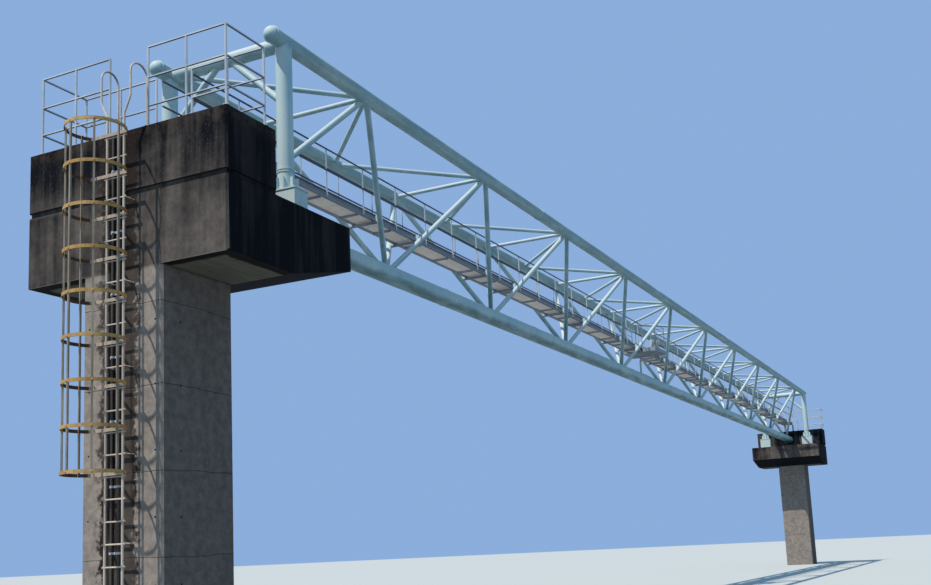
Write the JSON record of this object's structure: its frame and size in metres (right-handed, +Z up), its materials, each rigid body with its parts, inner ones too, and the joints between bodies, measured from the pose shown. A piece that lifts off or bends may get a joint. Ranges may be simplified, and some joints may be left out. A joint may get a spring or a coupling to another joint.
{
  "type": "industrial pipe bridge, scale model at 1:2",
  "caption": "Scale model at 1:2 of a water pipe bridge: a three-sided tube truss carrying a pipe and a walkway between concrete piers, with a caged ladder.",
  "frame": {"origin": "on the ground plane, in the middle of the overall length and width", "axes": "X along the bridge from the laddered pier to the far pier, Y to the left, Z up"},
  "size_m": [28.2868, 1.856, 4.987],
  "materials": {
    "concrete": "weathered cast concrete, board marked, with dark stains",
    "truss_paint": "semi-gloss pale aqua paint, slightly chalked",
    "walkway_steel": "dark paint with rust showing",
    "deck_boards": "rusty brown plates",
    "galvanised_tube": "dull galvanised tube with rust spots",
    "ladder_paint": "chalky off-white paint with rusty ends",
    "cage_paint": "rust-stained flat bar",
    "conduit": "dark matt tube",
    "valve_body": "pale painted casting with rust"
  },
  "bodies": {
    "root": {"air_valve": "valve_body", "chord_end_caps": "truss_paint", "far_back_railing": "galvanised_tube", "far_bearing_shoes": "truss_paint", "far_front_railing": "galvanised_tube", "far_knee_braces": "truss_paint", "far_left_column": "truss_paint", "far_parapet": "concrete", "far_pier_head": "concrete", "far_pier_shaft": "concrete", "far_portal_beam": "truss_paint", "far_right_column": "truss_paint", "far_side_railings": "galvanised_tube", "far_walkway_stools": "walkway_steel", "ladder": "ladder_paint", "ladder_brackets": "ladder_paint", "ladder_cage": "cage_paint", "ladder_grab_hoops": "ladder_paint", "left_chord": "truss_paint", "left_handrail": "galvanised_tube", "left_walkway_channel": "walkway_steel", "left_web": "truss_paint", "main_pipe": "truss_paint", "near_back_railing": "galvanised_tube", "near_bearing_shoes": "truss_paint", "near_front_railing": "galvanised_tube", "near_knee_braces": "truss_paint", "near_left_column": "truss_paint", "near_parapet": "concrete", "near_pier_head": "concrete", "near_pier_shaft": "concrete", "near_portal_beam": "truss_paint", "near_right_column": "truss_paint", "near_side_railings": "galvanised_tube", "near_walkway_stools": "walkway_steel", "pier_conduits": "conduit", "right_chord": "truss_paint", "right_handrail": "galvanised_tube", "right_walkway_channel": "walkway_steel", "right_web": "truss_paint", "top_laterals": "truss_paint", "top_struts": "truss_paint", "valve_platform": "walkway_steel", "walkway_bearers": "walkway_steel", "walkway_deck": "deck_boards"}
  },
  "joints": []
}
